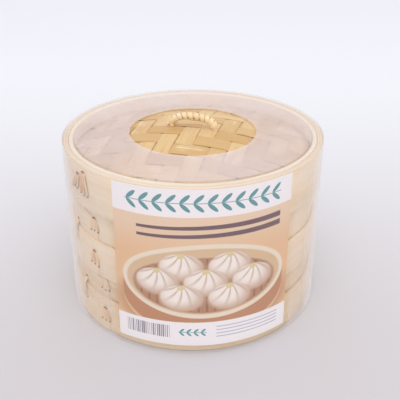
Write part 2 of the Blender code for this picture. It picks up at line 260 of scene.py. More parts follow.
def peel(name, pale, deep, dark, light, roughness=0.42, bump=0.10):
    """Split bamboo peel: long fibres along the strip, its tint changing from strip to strip."""
    g = Graph(name)
    along, across = g.sheet_place()
    tint = g.node("ShaderNodeAttribute", attribute_name="tint").outputs["Fac"]

    def fibres(slow, fast, detail=3.0):
        vector = g.combine(g.math("MULTIPLY", along, slow), g.math("MULTIPLY", across, fast), tint)
        return g.noise(vector, 1.0, detail, 0.6)

    broad = fibres(14, 160)
    fine = fibres(30, 1300)
    patches = fibres(38, 60, 2.0)
    colour = g.mix(g.ramp(tint, 0.0, 1.0), pale, deep)
    colour = g.mix(g.ramp(broad, 0.35, 0.75, 0.0, 0.5), colour, deep)
    colour = g.mix(g.ramp(fine, 0.52, 0.8, 0.0, 0.5), colour, dark)
    frayed = g.math("MULTIPLY", g.ramp(patches, 0.56, 0.70), g.ramp(fibres(20, 900), 0.45, 0.6))
    colour = g.mix(g.math("MULTIPLY", frayed, 0.65), colour, light)
    g.set(Base_Color=colour, Roughness=g.ramp(fine, 0.2, 0.8, roughness - 0.06, roughness + 0.14))
    g.set(Normal=g.bump(fine, bump * MM))
    return g.material


# ---------------------------------------------------------------- pieces


def add_piece(name, bm, material, body, replaces=()):
    """Makes a piece of the bmesh that rides on a body and stands for CAD nodes."""
    mesh = bpy.data.meshes.new(name)
    bm.to_mesh(mesh)
    bm.free()
    mesh.materials.append(material)
    mesh.shade_smooth()
    mesh.set_sharp_from_angle(angle=math.radians(50))
    piece = bpy.data.objects.new(name, mesh)
    bpy.context.scene.collection.objects.link(piece)
    finish_piece(piece, body, replaces)
    return piece


def finish_piece(piece, body, replaces=()):
    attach(piece, body)
    if replaces:
        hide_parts(*replaces)


def body_of(node):
    for body, members in frame["record"]["behaviour"]["bodies"].items():
        if node in members:
            return body
    raise ValueError(node)


def rounded_copy(node, material, width):
    """A copy of a CAD node whose sharp edges are rounded, as hand-planed ones are."""
    bm = bmesh.new()
    bm.from_mesh(frame["nodes"][node].data)
    bmesh.ops.remove_doubles(bm, verts=bm.verts, dist=0.01 * MM)
    bmesh.ops.dissolve_limit(bm, angle_limit=math.radians(1), verts=bm.verts, edges=bm.edges)
    piece = add_piece(node + "_planed", bm, material, body_of(node), [node])
    bevel = piece.modifiers.new("round", "BEVEL")
    bevel.width = width
    bevel.segments = 2
    bevel.limit_method = "ANGLE"
    bevel.angle_limit = math.radians(50)
    bevel.harden_normals = True
    return piece


def ribbon(bm, uv, tint_layer, sections, tint, start=0.0):
    """Joins rings of points, one for each section, into a closed strip. Each section is a list of
    (point, distance across) and the strip's own length so far gives the distance along."""
    rings = []
    travelled = start
    before = None
    for section in sections:
        middle = sum((point for point, across in section), Vector()) / len(section)
        if before is not None:
            travelled += (middle - before).length
        before = middle
        ring = []
        for point, across in section:
            vert = bm.verts.new(point)
            vert[tint_layer] = tint
            ring.append((vert, (travelled, across)))
        rings.append(ring)
    count = len(rings[0])

    def face(corners):
        made = bm.faces.new([vert for vert, place in corners])
        for loop, (vert, place) in zip(made.loops, corners):
            loop[uv].uv = place

    for a, b in zip(rings, rings[1:]):
        for i in range(count):
            face((a[i - 1], a[i], b[i], b[i - 1]))
    face(rings[0][::-1])
    face(rings[-1])


def strip_mesh():
    bm = bmesh.new()
    return bm, bm.loops.layers.uv.new("UVMap"), bm.verts.layers.float.new("tint")


# ---------------------------------------------------------------- the woven lid


def weft_is_up(column, row):
    """The two-over, two-under twill: each row's floats start one column further on."""
    return (column - row + 2) % 4 < 2


def plain_weft_is_up(column, row):
    return (column + row) % 2 == 0


class Weave:
    """One layer of strips woven in two directions over the dome."""

    def __init__(self, drop, lift, thickness, pitches, starts, is_up, seed, rim):
        self.drop = drop
        self.lift = lift
        self.thickness = thickness
        self.pitches = pitches
        self.starts = starts
        self.is_up = is_up
        self.seed = seed
        self.rim = rim

    def strip_height(self, direction, index, s, t):
        """Height of a strip's middle: over or under at each crossing, and sloped between them."""
        crossing_pitch = self.pitches[1 - direction]
        place = (s if direction == 0 else t) - self.starts[1 - direction]
        cell = math.floor(place / crossing_pitch)
        within = place / crossing_pitch - cell
        sign = 1 if direction == 0 else -1

        def side(other):
            column, row = (other, index) if direction == 0 else (index, other)
            return sign if self.is_up(column, row) else -sign

        here = side(cell)
        beside = side(cell - 1) if within < 0.5 else side(cell + 1)
        nearness = 0.5 - min(within, 1 - within) * crossing_pitch / (4.4 * MM)
        share = smooth(nearness * 2) * 0.5 if nearness > 0 else 0.0
        up = here * (1 - share) + beside * share
        radius = math.hypot(s, t)
        return dome_height(radius) - self.drop + up * self.lift

    def build(self, name, material, replaced):
        pick = random.Random(self.seed)
        bm, uv, tint_layer = strip_mesh()
        cos, sin = math.cos(WEAVE_TURN), math.sin(WEAVE_TURN)
        for direction in (0, 1):
            pitch = self.pitches[direction]
            first = math.floor((-self.rim - self.starts[direction]) / pitch)
            last = math.ceil((self.rim - self.starts[direction]) / pitch)
            for index in range(first, last):
                middle = self.starts[direction] + (index + 0.5) * pitch + pick.uniform(-0.25, 0.25) * MM
                width = pitch - pick.uniform(0.35, 0.95) * MM
                skew = pick.uniform(-0.006, 0.006)
                tint = pick.random()
                edges = [middle - width / 2, middle + width / 2]
                if max(abs(e) for e in edges) > self.rim - 2 * MM:
                    continue
                half = [math.sqrt(self.rim**2 - e * e) for e in edges]
                steps = max(6, round(2 * max(half) / STRIP_STEP))
                sections = []
                for step in range(steps + 1):
                    share = 2 * step / steps - 1
                    section = []
                    for side, rise in ((0, 0.1), (0.04, 0.8), (0.35, 1), (0.65, 1), (0.96, 0.8), (1, 0.1),
                                       (0.97, -1), (0.03, -1)):
                        long = share * (half[0] * (1 - side) + half[1] * side)
                        cross = edges[0] + width * side + skew * long
                        s, t = (long, cross) if direction == 0 else (cross, long)
                        z = self.strip_height(direction, index, s, t) + rise * self.thickness / 2
                        point = Vector((s * cos - t * sin, s * sin + t * cos, z))
                        section.append((point, side * width + index * 0.1))
                    sections.append(section)
                ribbon(bm, uv, tint_layer, sections, tint, start=pick.uniform(0, 1))
        bmesh.ops.recalc_face_normals(bm, faces=bm.faces)
        return add_piece(name, bm, material, "lid", [replaced])


def add_weave():
    golden = peel(
        "golden_peel",
        srgb(226, 194, 142),
        srgb(206, 166, 108),
        srgb(168, 118, 66),
        srgb(242, 224, 184),
    )
    rim = (WEAVE_RADIUS + WEAVE_CLAMP_RADIUS) / 2
    top = Weave(
        drop=0.90 * MM,
        lift=STRIP_LIFT,
        thickness=STRIP_THICKNESS,
        pitches=(ALONG_PITCH, ACROSS_PITCH),
        starts=(ALONG_START, ACROSS_START),
        is_up=weft_is_up,
        seed=4,
        rim=rim,
    )
    top.build("lid_twill_weave", golden, "lid_woven_top")
    lining = Weave(
        drop=2.75 * MM,
        lift=0.24 * MM,
        thickness=0.40 * MM,
        pitches=(19.0 * MM, 19.0 * MM),
        starts=(5.0 * MM, 9.0 * MM),
        is_up=plain_weft_is_up,
        seed=9,
        rim=rim,
    )
    lining.build("lid_lining_weave", golden, "lid_woven_lining")


# ---------------------------------------------------------------- the handle


def add_handle():
    bulge = 2.9 * MM
    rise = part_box("lid_handle_wrap")[1][2] - bulge - WEAVE_CROWN
    turn = Vector((math.cos(HANDLE_TURN), math.sin(HANDLE_TURN), 0))
    side = Vector((-math.sin(HANDLE_TURN), math.cos(HANDLE_TURN), 0))
    limit = math.radians(80)

    def centre(angle):
        height = WEAVE_CROWN + rise * math.cos(angle) ** HANDLE_FLATNESS
        return turn * (HANDLE_SPAN / 2 * math.sin(angle)) + Vector((0, 0, height))

    def up(angle):
        ahead = (centre(angle + 0.01) - centre(angle - 0.01)).normalized()
        return side.cross(ahead), ahead

    pick = random.Random(12)
    bm, uv, tint_layer = strip_mesh()
    sides = 16
    total = HANDLE_WINDINGS * sides
    width = 3.5 * MM
    sections = []
    wander = [pick.uniform(-0.15, 0.15) * MM for i in range(HANDLE_WINDINGS + 2)]
    for step in range(total + 1):
        turns = step / sides
        angle = limit * (2 * step / total - 1)
        swell = wander[int(turns)] * (1 - turns % 1) + wander[int(turns) + 1] * (turns % 1)
        radius_up, ahead = up(angle)
        spin = 2 * math.pi * turns
        out = math.cos(spin) * radius_up + math.sin(spin) * side
        section = []
        for across, lift in ((-0.5, -0.4), (-0.3, -0.08), (0, 0.0), (0.3, -0.03), (0.5, -0.25), (0, -1.0)):
            radius = bulge + swell + lift * 0.55 * MM
            section.append((centre(angle) + out * radius + ahead * (across * width), across * width))
        sections.append(section)
    ribbon(bm, uv, tint_layer, sections, 0.3)
    foot = centre(-limit)
    for number, (lean, reach_out) in enumerate(((0.0, 4.5), (0.5, 3.2))):
        sections = []
        for step in range(7):
            share = step / 6
            middle = foot - turn * (share * reach_out * MM) + Vector((0, 0, (0.2 - 1.6 * share) * MM))
            middle += side * (lean * share * 3 * MM)
            half = (1.5 - 0.5 * share) * MM
            thick = 0.25 * MM
            section = []
            for across, lift in ((-1, 0), (-0.6, 1), (0.6, 1), (1, 0), (0.6, -1), (-0.6, -1)):
                point = middle + side * across * half + Vector((0, 0, lift * thick))
                section.append((point, across * half))
            sections.append(section)
        ribbon(bm, uv, tint_layer, sections, 0.2 + 0.3 * number)
    bmesh.ops.recalc_face_normals(bm, faces=bm.faces)
    pale = peel(
        "pale_peel",
        srgb(250, 230, 190),
        srgb(238, 206, 156),
        srgb(196, 148, 98),
        srgb(252, 240, 212),
    )
    add_piece("lid_handle_winding", bm, pale, "lid", ["lid_handle_wrap"])
    frame["nodes"]["lid_handle_core"].data.materials[0] = pale


# ---------------------------------------------------------------- hoops, racks and lacings


def add_hoops():
    outer = bamboo(
        "hoop_bamboo",
        around,
        srgb(246, 228, 202),
        srgb(240, 217, 186),
        srgb(222, 192, 154),
        flecks=0.25,
    )
    # A paler copy of the hoop bamboo for every inner hoop: painted light that brightens the shaded inside
    # of the lid and the baskets.
    inner = bamboo(
        "inner_hoop_bamboo_painted_light",
        around,
        srgb(253, 244, 229),
        srgb(249, 235, 214),
        srgb(230, 208, 180),
        flecks=0.2,
    )
    # A darker copy of the hoop bamboo for the lower basket's hoops: painted shade for the lower part of the
    # stack.
    lower_shaded_bamboo = bamboo(
        "lower_hoop_bamboo_painted_shade",
        around,
        srgb(240, 219, 188),
        srgb(231, 204, 168),
        srgb(214, 180, 138),
        flecks=0.3,
    )
    for node in frame["nodes"]:
        if node.endswith("_hoop"):
            lower = node.startswith("lower")
            # Inner hoops take the paler copy, painted light; the lower basket's other hoops take the darker
            # copy, painted shade.
            add_hoop(node, inner if "inner" in node else lower_shaded_bamboo if lower else outer)
    return {"lower": lower_shaded_bamboo, "upper": outer}


def add_hoop(node, material):
    """A strip bent into a ring, with worn edges and a fine groove on top between its two turns. The
    one that presses on the weave sinks into it."""
    inner, outer = reach(node)
    middle = (inner + outer) / 2
    low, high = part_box(node)
    bottom, top = low[2], high[2]
    worn = min(1.1 * MM, (outer - inner) / 3)
    if node == "lid_upper_inner_hoop":
        bottom -= worn
    profile = []
    corners = ((inner, bottom, 270), (inner, top, 180), (outer, top, 90), (outer, bottom, 0))
    for side, level, first in corners:
        centre_r = side + math.copysign(worn, middle - side)
        centre_z = level + math.copysign(worn, (bottom + top) / 2 - level)
        for step in range(4):
            lean = math.radians(first - 30 * step)
            profile.append((centre_r + worn * math.cos(lean), centre_z + worn * math.sin(lean)))
        if level == top and side == inner:
            for off, depth in ((-0.2, 0), (0, 0.3), (0.2, 0)):
                profile.append((middle + off * MM, top - depth * MM))
    pick = random.Random(node)
    phases = [pick.uniform(0, math.tau) for i in range(4)]
    columns = 168
    bm = bmesh.new()
    rings = []
    for column in range(columns):
        along = math.tau * column / columns
        wave = sum(math.sin(along * (3 + 2 * i) + phase) for i, phase in enumerate(phases)) / 4
        planed = 0.3 * MM * max(0, wave)
        ring = []
        for r, z in profile:
            share = (z - bottom) / (top - bottom)
            ring.append(bm.verts.new(on_cylinder(r, along, z - planed * share)))
        rings.append(ring)
    for a, b in zip(rings, rings[1:] + rings[:1]):
        for i in range(len(a)):
            bm.faces.new((a[i - 1], a[i], b[i], b[i - 1]))
    bmesh.ops.recalc_face_normals(bm, faces=bm.faces)
    add_piece(node + "_bent", bm, material, body_of(node), [node])


def add_racks():
    slat = bamboo(
        "slat_bamboo",
        along_y,
        srgb(236, 214, 170),
        srgb(220, 190, 140),
        srgb(184, 144, 92),
        flecks=0.7,
        roughness=0.55,
    )
    batten = bamboo(
        "batten_bamboo",
        along_x,
        srgb(230, 206, 162),
        srgb(212, 180, 130),
        srgb(176, 136, 88),
        flecks=0.7,
        roughness=0.58,
    )
    for node in frame["nodes"]:
        if "_slat_" in node:
            rounded_copy(node, slat, 0.6 * MM)
        elif "_batten_" in node:
            rounded_copy(node, batten, 0.8 * MM)


def add_hoop_end(name, node, top, tip, corner, fade, material):
    """The outer end of a bent strip, cut on a slant and lying on the turn below it. It rises from
    nothing at the angle fade, and its top edge slants down from corner to tip."""
    body = body_of(node)
    radius = reach(node)[1] + 0.02 * MM
    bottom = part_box(node)[0][2] + 0.6 * MM
    columns, rows = 60, 4
    bm = bmesh.new()
    grid = []
    for column in range(columns + 1):
        along = fade + (tip - fade) * column / columns
        lift = 0.55 * MM * smooth((along - fade) / (corner - fade))
        drop = (along - corner) / (tip - corner) if along > corner else 0.0
        upper = top - HOOP_END_DROP * drop
        line = []
        for layer in (0, 1):
            for row in range(rows + 1):
                z = bottom + (upper - bottom) * row / rows
                line.append(bm.verts.new(on_cylinder(radius + lift * layer, along, z)))
        grid.append(line)
    count = rows + 1
    for a, b in zip(grid, grid[1:]):
        for row in range(rows):
            bm.faces.new((a[row], a[row + 1], b[row + 1], b[row]))
            bm.faces.new((a[count + row], b[count + row], b[count + row + 1], a[count + row + 1]))
        bm.faces.new((a[0], b[0], b[count], a[count]))
        bm.faces.new((a[rows], a[count + rows], b[count + rows], b[rows]))
    for row in range(rows):
        bm.faces.new((grid[-1][row], grid[-1][row + 1], grid[-1][count + row + 1], grid[-1][count + row]))
    bmesh.ops.recalc_face_normals(bm, faces=bm.faces)
    return add_piece(name, bm, material, body)


def seam_above(tier):
    """The lower edge of the piece that nests over a basket's wall."""
    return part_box({"lower": "upper_skirt_hoop", "upper": "lid_outer_hoop"}[tier])[0][2]


def add_lacing(node, material, slit_shade_material):
    """Three strands of peel that fan out from the upper slit to the lower ones. The lid's two
    lacings lean together at the top."""
    low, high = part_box(node)
    body = body_of(node)
    middle_angle = angle_of([(a + b) / 2 for a, b in zip(low, high)])
    radius = reach(node)[1]
    top, bottom = high[2], low[2]
    step_in, step_height = 0.0, top
    if "_tie_" in node:
        tier = node.split("_")[0]
        step_in = reach(f"{tier}_skirt_hoop")[1] - reach(f"{tier}_wall_hoop")[1]
        step_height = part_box(f"{tier}_skirt_hoop")[1][2]
    lean = math.radians(3.5) if node == "lid_hoop_lacing_left" else 0.0
    highest_slit = top + 0.5 * MM
    if "_wall_" in node:
        highest_slit = min(highest_slit, seam_above(node.split("_")[0]) - 0.7 * MM)

    def strand_angle(strand, share):
        return middle_angle + lean * (1 - share) + strand * (0.9 + 3.4 * share) * MM / radius

    pick = random.Random(node)
    bm, uv, tint_layer = strip_mesh()
    slit_shades = bmesh.new()
    for strand in (-1, 1, 0):
        width = pick.uniform(2.5, 3.0) * MM
        upper_end = top - abs(strand) * pick.uniform(0.2, 1.2) * MM
        lower_end = bottom + pick.uniform(-0.4, 1.2) * MM
        sections = []
        steps = 12
        for step in range(steps + 1):
            share = step / steps
            z = upper_end + (lower_end - upper_end) * share
            angle = strand_angle(strand, share)
            end = min(share, 1 - share)
            proud = (0.05 - 0.12 * abs(strand)) * MM
            face = radius + proud - step_in * smooth((z - step_height) / (3 * MM))
            sink = (1 - smooth(end / 0.09)) * 1.6 * MM
            section = []
            for across, lift in ((-1, 0), (-0.6, 0.8), (0, 1), (0.6, 0.8), (1, 0), (0, -1)):
                turn = angle + across * width / 2 / radius
                section.append((on_cylinder(face - sink + lift * 0.3 * MM, turn, z), across * width / 2))
            sections.append(section)
        ribbon(bm, uv, tint_layer, sections, pick.random())
        # A disc of painted shade at each end of a strand, standing for the dark inside of a slit.
        for z, share in ((min(upper_end + 0.5 * MM, highest_slit), 0.0), (lower_end - 0.5 * MM, 1.0)):
            face = radius + 0.06 * MM - step_in * smooth((z - step_height) / (3 * MM))
            add_slit_shade(slit_shades, face, strand_angle(strand, share), width * 0.8 / radius, z)
    bmesh.ops.recalc_face_normals(bm, faces=bm.faces)
    bmesh.ops.recalc_face_normals(slit_shades, faces=slit_shades.faces)
    add_piece(node + "_strands", bm, material, body, [node])
    add_piece(node + "_slit_shades", slit_shades, slit_shade_material, body)


def add_slit_shade(bm, radius, angle, width, z):
    """A dark oval disc standing on a hoop, a little wider than it is tall: painted shade for the mouth of a
    slit.
    """
    rings = []
    for face in (radius, radius - 0.3 * MM):
        ring = []
        for step in range(8):
            turn = math.tau * step / 8
            place = on_cylinder(face, angle + math.cos(turn) * width / 2, z + math.sin(turn) * 0.55 * MM)
            ring.append(bm.verts.new(place))
        rings.append(ring)
        bm.faces.new(ring if face == radius else ring[::-1])
    join_rings(bm, rings)


def add_lacings(hoop_materials):
    orange = peel(
        "lacing_peel",
        srgb(248, 220, 174),
        srgb(232, 174, 122),
        srgb(150, 94, 62),
        srgb(255, 242, 212),
    )
    # A mottled dark brown for the slit discs: painted shade in place of the shadowed inside of a slit.
    g = Graph("painted_slit_shade")
    x, y, z = g.place()
    shade_mottle = g.noise(g.combine(x, y, z), 700.0, 3.0)
    g.set(Base_Color=g.mix(g.ramp(shade_mottle, 0.3, 0.7), srgb(112, 70, 48), srgb(162, 112, 80)), Roughness=0.9)
    slit_shade_paint = g.material
    for node in frame["nodes"]:
        if node.endswith("lacing") or "lacing_" in node:
            add_lacing(node, orange, slit_shade_paint)
    # The lower basket's hoop ends take the darker copy of the hoop bamboo, painted shade.
    for tier in ("lower", "upper"):
        skirt_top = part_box(f"{tier}_skirt_hoop")[1][2]
        limits = {"wall": seam_above(tier) - 0.3 * MM, "skirt": skirt_top - 0.5 * MM}
        for hoop, limit in limits.items():
            low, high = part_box(f"{tier}_{hoop}_lacing")
            middle = angle_of([(a + b) / 2 for a, b in zip(low, high)])
            top = high[2] + HOOP_END_DROP - 1.5 * MM
            add_hoop_end(
                f"{tier}_{hoop}_hoop_end",
                f"{tier}_{hoop}_hoop",
                min(top, limit),
                middle + math.radians(2),
                middle - math.radians(11),
                middle - math.radians(60),
                hoop_materials[tier],
            )


# ---------------------------------------------------------------- the label


def add_label():
    """A sheet of paper printed on its outer face, which waves a little where it hangs free."""
    outer = reach("wrap_label")[1]
    low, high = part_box("wrap_label")
    angles = [angle_of(vert.co) for vert in frame["nodes"]["wrap_label"].data.vertices]
    start, end = min(angles), max(angles)
    columns, rows = 120, 24
    bm = bmesh.new()
    uv = bm.loops.layers.uv.new("UVMap")

    def layer(radius):
        made = {}
        for column in range(columns + 1):
            along = start + (end - start) * column / columns
            for row in range(rows + 1):
                z = low[2] + (high[2] - low[2]) * row / rows
                wave = (math.sin(along * 9 + z * 40) - 1) * LABEL_WOBBLE
                made[column, row] = (bm.verts.new(on_cylinder(radius + wave, along, z)), (along * outer, z))
        return made

    def face(corners, material_index):
        made = bm.faces.new([vert for vert, place in corners])
        made.material_index = material_index
        for loop, (vert, place) in zip(made.loops, corners):
            loop[uv].uv = place

    front = layer(outer - 0.05 * MM)
    back = layer(outer - 0.17 * MM)
    for column in range(columns):
        for row in range(rows):
            around_cell = ((column, row), (column + 1, row), (column + 1, row + 1), (column, row + 1))
            face([front[key] for key in around_cell], 0)
            face([back[key] for key in around_cell[::-1]], 1)
    border = [(column, 0) for column in range(columns)] + [(columns, row) for row in range(rows)]
    border += [(column, rows) for column in range(columns, 0, -1)]
    border += [(0, row) for row in range(rows, 0, -1)]
    for one, other in zip(border, border[1:] + border[:1]):
        face([front[other], front[one], back[one], back[other]], 1)
    label = add_piece("wrap_label_print", bm, label_print(), "wrap", ["wrap_label"])
    label.data.materials.append(label_paper())


def label_paper():
    """The label's blank back."""
    g = Graph("label_back")
    along, up = g.sheet_place()
    pulp = g.noise(g.combine(along, up), 900.0, 3.0)
    paper = g.mix(g.ramp(pulp, 0.3, 0.75), srgb(246, 244, 244), srgb(228, 225, 224))
    g.set(Base_Color=paper, Roughness=0.7)
    g.set(Normal=g.bump(pulp, 0.05 * MM))
    return g.material


DOUGH = srgb(250, 241, 232)


class Paint:
    """Flat shapes laid one over another on the label. All places are millimetres along and up."""

    def __init__(self, name):
        self.g = Graph(name)
        along, up = self.g.sheet_place()
        self.u = self.g.math("MULTIPLY", along, 1000)
        self.v = self.g.math("MULTIPLY", up, 1000)
        self.colour = srgb(255, 255, 255)

    def lay(self, mask, colour):
        self.colour = self.g.mix(mask, self.colour, colour)

    def turned(self, at, turn=0.0):
        """Distances along and across from a point, in axes turned by degrees."""
        g = self.g
        du, dv = g.math("SUBTRACT", self.u, at[0]), g.math("SUBTRACT", self.v, at[1])
        cos, sin = math.cos(math.radians(turn)), math.sin(math.radians(turn))
        a = g.math("ADD", g.math("MULTIPLY", du, cos), g.math("MULTIPLY", dv, sin))
        b = g.math("SUBTRACT", g.math("MULTIPLY", dv, cos), g.math("MULTIPLY", du, sin))
        return a, b

    def oval_distance(self, at, size, turn=0.0):
        """0 at the middle of an oval and 1 at its edge."""
        g = self.g
        a, b = self.turned(at, turn)
        a, b = g.math("DIVIDE", a, size[0]), g.math("DIVIDE", b, size[1])
        return g.math("SQRT", g.math("ADD", g.math("MULTIPLY", a, a), g.math("MULTIPLY", b, b)))

    def oval(self, at, size, turn=0.0, soft=0.04):
        return self.g.ramp(self.oval_distance(at, size, turn), 1 - soft, 1 + soft, 1.0, 0.0)

    def above(self, at, turn=0.0, soft=0.4):
        """1 above a line through a point, 0 below it."""
        return self.g.ramp(self.turned(at, turn)[1], -soft, soft)

    def beyond(self, at, turn=0.0, soft=0.4):
        """1 to the right of a line through a point."""
        return self.g.ramp(self.turned(at, turn)[0], -soft, soft)

    def both(self, *masks):
        result = masks[0]
        for mask in masks[1:]:
            result = self.g.math("MULTIPLY", result, mask)
        return result

    def without(self, mask, other):
        return self.g.math("MULTIPLY", mask, self.g.math("SUBTRACT", 1.0, other))

    def bar(self, start, end, widths, soft=0.25):
        """A straight bar from one point to another, its width changing from end to end."""
        g = self.g
        length = math.dist(start, end)
        turn = math.degrees(math.atan2(end[1] - start[1], end[0] - start[0]))
        a, b = self.turned(start, turn)
        half = g.math("MULTIPLY_ADD", a, (widths[1] - widths[0]) / 2 / length, widths[0] / 2)
        inside = g.ramp(g.math("SUBTRACT", g.math("ABSOLUTE", b), half), -soft, soft, 1.0, 0.0)
        ends = g.math("ABSOLUTE", g.math("SUBTRACT", a, length / 2))
        return self.both(inside, g.ramp(ends, length / 2 - soft, length / 2 + soft, 1.0, 0.0))

    def dumpling(self, at, size, knot, turn=0.0, pleats=11):
        """A steamed dumpling: a cream mound whose pleats gather at a knot."""
        g = self.g
        body = self.oval(at, size, turn, 0.05)
        shadow = srgb(208, 174, 148)
        side, height = self.turned(knot)
        lean = g.math("ARCTAN2", side, g.math("SUBTRACT", 3.0, height))
        squares = g.math("ADD", g.math("MULTIPLY", side, side), g.math("MULTIPLY", height, height))
        away = g.math("SQRT", squares)
        bend = g.math("MULTIPLY_ADD", away, 0.018, lean)
        wave = g.math("SINE", g.math("MULTIPLY", bend, pleats))
        strength = g.ramp(away, size[0] * 0.25, size[0] * 1.3, 1.0, 0.12)
        folds = g.math("MULTIPLY", g.ramp(wave, 0.2, 1.0), strength)
        inner = self.oval_distance((at[0] - size[0] * 0.15, at[1] + size[1] * 0.2), size, turn)
        light = g.mix(g.ramp(inner, 0.4, 1.3, 0.0, 0.9), DOUGH, shadow)
        light = g.mix(g.math("MULTIPLY", folds, 0.65), light, srgb(188, 150, 130))
        below = (at[0], at[1] - size[1] * 0.12)
        self.lay(self.oval(below, (size[0] * 1.06, size[1] * 1.02), turn, 0.12), shadow)
        self.lay(body, light)
        self.lay(self.oval(knot, (size[0] * 0.17, size[1] * 0.2), 20, 0.35), srgb(226, 208, 158))


def label_print():
    """A printed picture of dumplings in a basket between two white bands. The bands carry a garland in
    place of a title, and plain stripes and rules in place of a bar code and small print."""
    p = Paint("label_print")
    g = p.g
    white = srgb(249, 245, 247)
    p.colour = g.mix(g.ramp(p.v, 80, 112), srgb(235, 193, 150), srgb(238, 210, 182))
    paint_basket(p)
    paint_dumplings(p)
    paint_sticks(p)
    picture = p.both(p.above((0, 27.5), soft=0.25), g.math("SUBTRACT", 1.0, p.above((0, 114.0), soft=0.25)))
    p.colour = g.mix(picture, white, p.colour)
    paint_ornaments(p)
    grain = g.noise(g.combine(p.u, p.v), 1.3, 3.0)
    toned = g.mix(g.ramp(grain, 0.3, 0.8, 0.0, 0.08), p.colour, srgb(220, 205, 200))
    g.set(Base_Color=toned, Roughness=0.38, Coat_Weight=0.2, Coat_Roughness=0.25)
    g.set(Normal=g.bump(grain, 0.05 * MM))
    return g.material


def paint_basket(p):
    """A round basket in the middle of the picture: brown side, pale rim, tan inner wall, slatted floor."""
    middle, rim, rim_width = PICTURE_MIDDLE, (62, 31), 3.6
    front = (middle[0], middle[1] - 17)
    side_height = middle[1] - front[1]
    side_middle = (middle[1] + front[1]) / 2
    left, right = (front[0] - rim[0], side_middle), (front[0] + rim[0], side_middle)
    side = p.bar(left, right, (side_height, side_height))
    p.lay(p.oval((front[0], front[1] - 3), (rim[0] + 6, rim[1]), 0, 0.12), srgb(206, 158, 118))
    p.lay(p.oval(front, rim, 0, 0.01), srgb(196, 138, 98))
    p.lay(side, srgb(196, 138, 98))
    foot = p.without(p.oval(front, rim, 0, 0.01), p.oval((front[0], front[1] + 3), rim, 0, 0.01))
    p.lay(foot, srgb(226, 188, 146))
    p.lay(p.oval(middle, rim, 0, 0.01), srgb(240, 226, 206))
    p.lay(p.oval(middle, (rim[0] - rim_width, rim[1] - rim_width), 0, 0.02), srgb(222, 190, 152))
    floor = p.oval((middle[0], middle[1] - 3), (rim[0] - 9, rim[1] - 8), 0, 0.04)
    p.lay(floor, srgb(158, 108, 82))
    p.lay(p.both(floor, dashes(p, 6.0, 4.4)), srgb(186, 136, 104))


def paint_dumplings(p):
    """One dumpling in the middle and six evenly round it, the farthest painted first."""
    middle_u, middle_v = PICTURE_MIDDLE
    places = [PICTURE_MIDDLE]
    for step in range(6):
        turn = math.tau * step / 6
        places.append((middle_u + 35 * math.cos(turn), middle_v + 15 * math.sin(turn)))
    for u, v in sorted(places, key=lambda place: -place[1]):
        p.dumpling((u, v), (15.5, 10.5), (u, v + 8.5), pleats=12)


def paint_sticks(p):
    """A pair of dark wooden sticks laid down behind the basket."""
    for rise in (0, 6.5):
        p.lay(p.bar((-40, 98.5 + rise), (66, 100.5 + rise), (2.2, 4.2)), srgb(112, 84, 92))


def paint_ornaments(p):
    """Garlands, unequal stripes, and plain rules."""
    teal, slate, grey = srgb(92, 152, 160), srgb(140, 134, 148), srgb(186, 184, 204)
    p.lay(garland(p, -48, 66, 124.6, 9.5, (4.6, 1.5)), teal)
    p.lay(p.both(p.bar((-51, 18.5), (-17, 18.5), (11, 11)), stripes(p, 1.5)), slate)
    p.lay(garland(p, -11, 10, 18.5, 5.25, (2.3, 0.8)), teal)
    for line in range(4):
        height = 23.0 - 3.0 * line
        p.lay(p.bar((17, height), (68, height), (0.8, 0.8), 0.2), grey)


def garland(p, start, end, middle, pitch, leaf):
    """A straight stem with a pair of equal leaves for each pitch."""
    g = p.g
    step = g.math("FRACT", g.math("DIVIDE", g.math("SUBTRACT", p.u, start), pitch))
    along = g.math("MULTIPLY", g.math("SUBTRACT", step, 0.5), pitch)
    away = g.math("SUBTRACT", g.math("ABSOLUTE", g.math("SUBTRACT", p.v, middle)), leaf[0] * 0.72)
    cos, sin = math.cos(math.radians(42)), math.sin(math.radians(42))
    a = g.math("ADD", g.math("MULTIPLY", along, cos / leaf[0]), g.math("MULTIPLY", away, sin / leaf[0]))
    across = g.math("MULTIPLY", along, sin / leaf[1])
    b = g.math("SUBTRACT", g.math("MULTIPLY", away, cos / leaf[1]), across)
    distance = g.math("SQRT", g.math("ADD", g.math("MULTIPLY", a, a), g.math("MULTIPLY", b, b)))
    within = p.without(p.beyond((start, 0), 0, 0.1), p.beyond((end, 0), 0, 0.1))
    leaves = p.both(within, g.ramp(distance, 0.92, 1.08, 1.0, 0.0))
    return g.math("MAXIMUM", leaves, p.bar((start, middle), (end, middle), (0.5, 0.5), 0.15))


def dashes(p, pitch, width):
    """Upright stripes, one for each pitch."""
    g = p.g
    within = g.math("MULTIPLY", g.math("FRACT", g.math("DIVIDE", g.math("ADD", p.u, 200), pitch)), pitch)
    off = g.math("ABSOLUTE", g.math("SUBTRACT", within, pitch / 2))
    return g.ramp(off, width / 2 - 0.1, width / 2 + 0.1, 1.0, 0.0)


def stripes(p, pitch):
    """Upright stripes of unequal widths."""
    g = p.g
    place = g.math("DIVIDE", g.math("ADD", p.u, 200), pitch)
    number = {"W": g.math("FLOOR", place)}
    chance = g.node("ShaderNodeTexWhiteNoise", number, noise_dimensions="1D").outputs[0]
    off = g.math("ABSOLUTE", g.math("SUBTRACT", g.math("FRACT", place), 0.5))
    half = g.math("MULTIPLY_ADD", chance, 0.34, 0.10)
    return g.ramp(g.math("SUBTRACT", off, half), -0.08, 0.08, 1.0, 0.0)


# ---------------------------------------------------------------- the film


def creases(g):
    x, y, z = g.place()
    vector = g.combine(g.math("MULTIPLY", x, 16), g.math("MULTIPLY", y, 16), g.math("MULTIPLY", z, 24))
    return g.noise(vector, 1.0, 3.0, 0.55)


